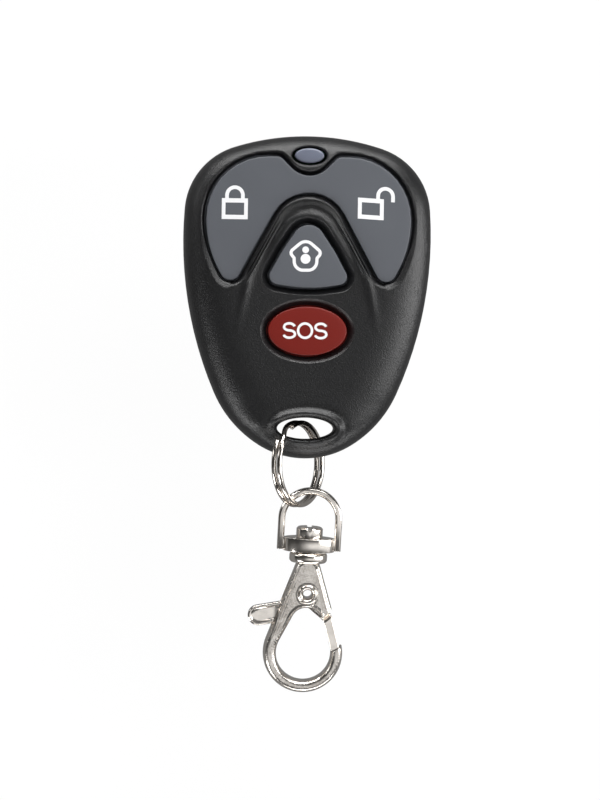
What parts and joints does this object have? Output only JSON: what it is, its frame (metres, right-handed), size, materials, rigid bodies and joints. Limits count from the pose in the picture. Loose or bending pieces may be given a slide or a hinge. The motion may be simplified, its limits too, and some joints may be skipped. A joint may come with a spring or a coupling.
{
  "type": "alarm key fob",
  "caption": "Handheld alarm transmitter with lock, home and alarm keys, on a split ring with a swivel snap clasp.",
  "frame": {"origin": "on the back face of the case, at the middle of the case's width and height", "axes": "+X to the right seen from the front, +Y towards the indicator window, +Z out of the front face"},
  "size_m": [0.0458, 0.103, 0.0144],
  "materials": {
    "case": "fine spark texture",
    "key_grey": "satin",
    "key_red": "satin",
    "window": "clear smoked",
    "board": "solder mask",
    "diode": "clear",
    "chip": "moulded",
    "chip_brown": "ceramic",
    "cell": "bright",
    "steel": "plated",
    "contact": "plated",
    "plunger": "moulded",
    "nickel": "nickel plated"
  },
  "bodies": {
    "fob": {"rear_shell": "case", "front_shell": "case", "case_screws": "steel", "indicator_window": "window", "circuit_board": "board", "indicator_diode": "diode", "encoder_chip": "chip", "resonator_can": "steel", "transmitter_transistor": "chip", "chip_parts": "chip_brown", "coin_cell": "cell", "cell_clip": "steel", "cell_contact": "contact", "lock_switch": "chip", "unlock_switch": "chip", "home_switch": "chip", "alarm_switch": "chip"},
    "rocker": {"lock_unlock_key": "key_grey"},
    "home": {"home_key": "key_grey"},
    "alarm": {"alarm_key": "key_red"},
    "lock_pin": {"lock_plunger": "plunger"},
    "unlock_pin": {"unlock_plunger": "plunger"},
    "home_pin": {"home_plunger": "plunger"},
    "alarm_pin": {"alarm_plunger": "plunger"},
    "ring": {"split_ring": "nickel"},
    "bail": {"swivel_bail": "nickel"},
    "hook": {"clasp_hook": "nickel", "swivel_rivet": "nickel", "gate_rivet": "nickel", "gate_spring": "steel"},
    "gate": {"gate_lever": "nickel"}
  },
  "joints": [
    {"name": "rocker_tilt", "type": "hinge", "parent": "fob", "child": "rocker", "pos_m": [0, 0.012, 0.00965], "axis": [0, 1, 0], "range_deg": [-1.06, 1.06], "stiffness_Nm_per_rad": 1.4},
    {"name": "home_press", "type": "slide", "parent": "fob", "child": "home", "axis": [0, 0, -1], "range_m": [0, 0.0005], "stiffness_N_per_m": 3200},
    {"name": "alarm_press", "type": "slide", "parent": "fob", "child": "alarm", "axis": [0, 0, -1], "range_m": [0, 0.0005], "stiffness_N_per_m": 3200},
    {"name": "lock_plunge", "type": "slide", "parent": "fob", "child": "lock_pin", "axis": [0, 0, -1], "range_m": [-0.0003, 0.0003]},
    {"name": "unlock_plunge", "type": "slide", "parent": "fob", "child": "unlock_pin", "axis": [0, 0, -1], "range_m": [-0.0003, 0.0003]},
    {"name": "home_plunge", "type": "slide", "parent": "fob", "child": "home_pin", "axis": [0, 0, -1], "range_m": [0, 0.0005]},
    {"name": "alarm_plunge", "type": "slide", "parent": "fob", "child": "alarm_pin", "axis": [0, 0, -1], "range_m": [0, 0.0005]},
    {"name": "ring_swing", "type": "hinge", "parent": "fob", "child": "ring", "pos_m": [-0.00115, -0.0284, 0.0072], "axis": [1, 0, 0], "range_deg": [-30, 60]},
    {"name": "bail_swing", "type": "hinge", "parent": "ring", "child": "bail", "pos_m": [-0.00115, -0.03835, 0.0074], "axis": [0.5592, 0, -0.829], "range_deg": [-45, 60]},
    {"name": "swivel_spin", "type": "hinge", "parent": "bail", "child": "hook", "pos_m": [0.0015, -0.03515, 0.007], "axis": [0.0346, 0.9911, 0.1288], "continuous": true},
    {"name": "gate_open", "type": "hinge", "parent": "hook", "child": "gate", "pos_m": [0.00102, -0.05473, 0.00446], "axis": [0.0045, 0.1287, -0.9917], "range_deg": [0, 26], "stiffness_Nm_per_rad": 0.05, "springref_deg": -17.19, "deforming": ["gate_spring"]}
  ],
  "couplings": [
    {"joint": "lock_plunge", "follows": "rocker_tilt", "m_per_rad": -0.0135},
    {"joint": "unlock_plunge", "follows": "rocker_tilt", "m_per_rad": 0.0135},
    {"joint": "home_plunge", "follows": "home_press", "ratio": 1},
    {"joint": "alarm_plunge", "follows": "alarm_press", "ratio": 1}
  ]
}
